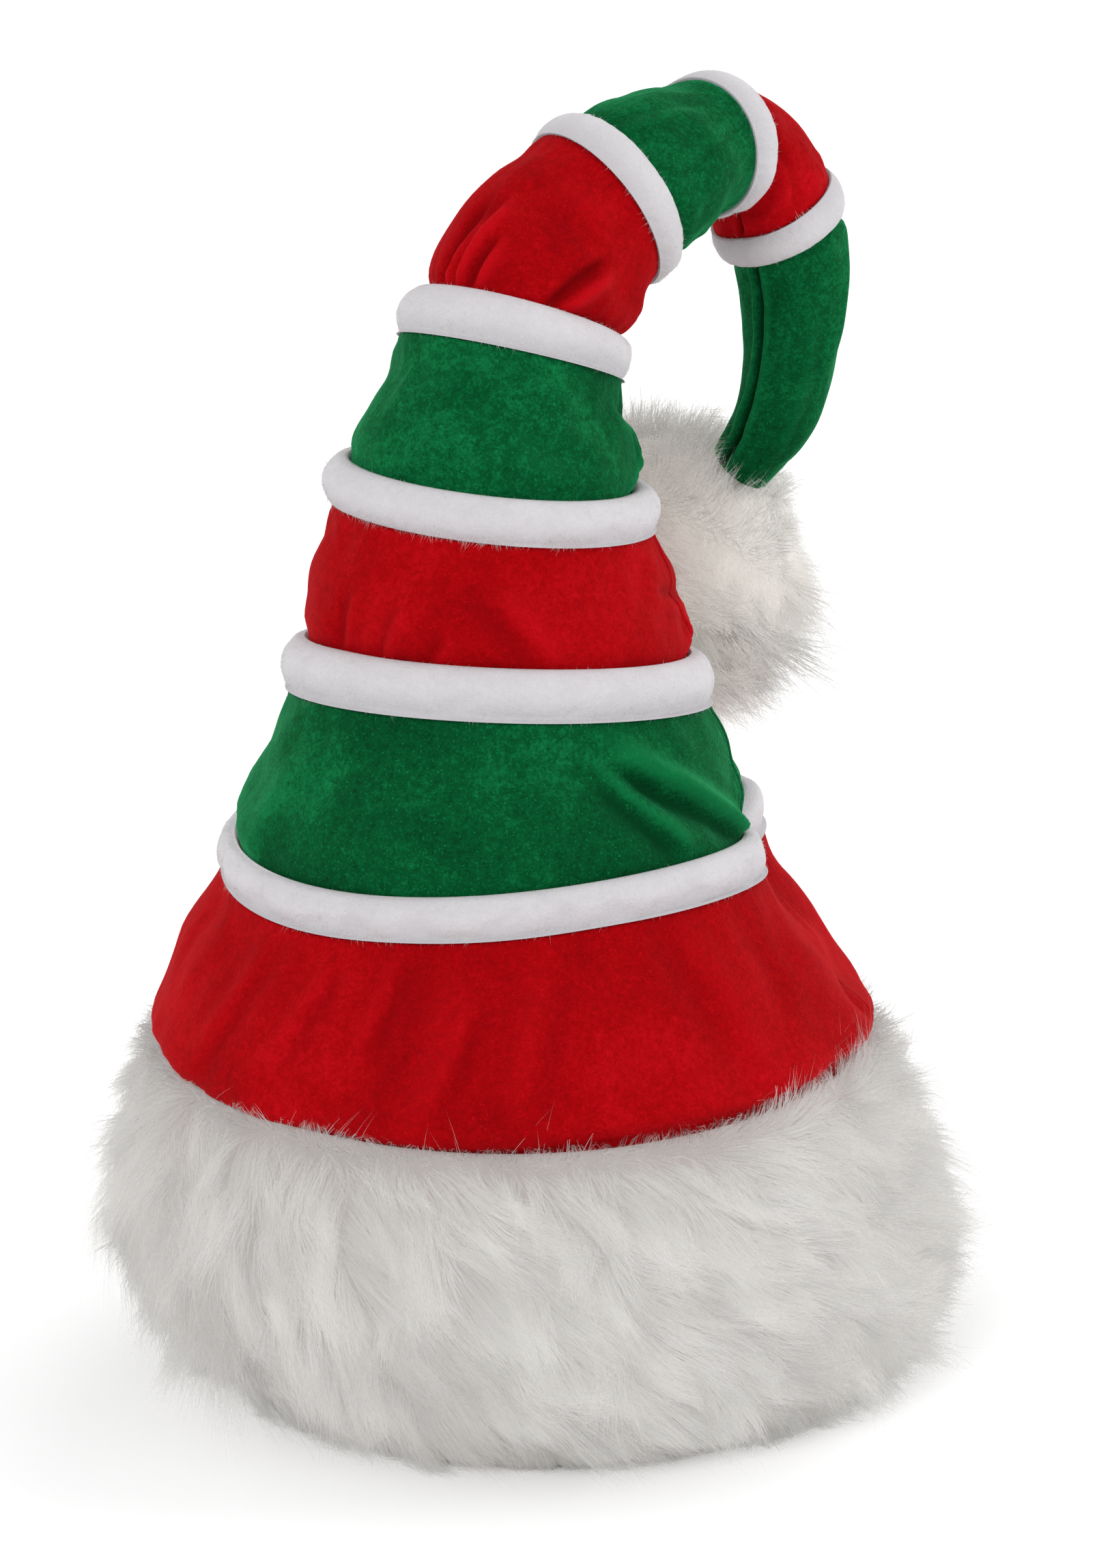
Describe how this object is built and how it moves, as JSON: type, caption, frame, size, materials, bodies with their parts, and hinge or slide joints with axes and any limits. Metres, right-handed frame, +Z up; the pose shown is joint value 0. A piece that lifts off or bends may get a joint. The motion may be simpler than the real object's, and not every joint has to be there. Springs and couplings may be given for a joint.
{
  "type": "santa hat",
  "caption": "Tall santa hat of red and green velour bands with padded white piping on the seams, a tip that curls over to a fur pompom, and a deep white fur cuff round the head opening.",
  "frame": {"origin": "middle of the hat's box, on the surface that the cuff rests on", "axes": "+Z up through the crown, -Y towards the front, +X to the viewer's right, the side that the tip bends to"},
  "size_m": [0.2802, 0.3078, 0.4002],
  "materials": {
    "red_velour": "deep red velour with a soft sheen along its folds",
    "green_velour": "deep green velour with lighter nap along its edges",
    "white_velour": "white brushed velour over soft padding, with short fuzz",
    "white_fur": "white long-pile faux fur that lies in soft locks"
  },
  "bodies": {
    "root": {"fur_cuff": "white_fur", "panel_red_1": "red_velour", "panel_green_1": "green_velour", "panel_red_2": "red_velour", "panel_green_2": "green_velour", "panel_red_3": "red_velour", "panel_green_3": "green_velour", "panel_red_4": "red_velour", "tail_green_4": "green_velour", "piping_1": "white_velour", "piping_2": "white_velour", "piping_3": "white_velour", "piping_4": "white_velour", "piping_5": "white_velour", "piping_6": "white_velour", "piping_7": "white_velour", "pompom": "white_fur"}
  },
  "joints": []
}
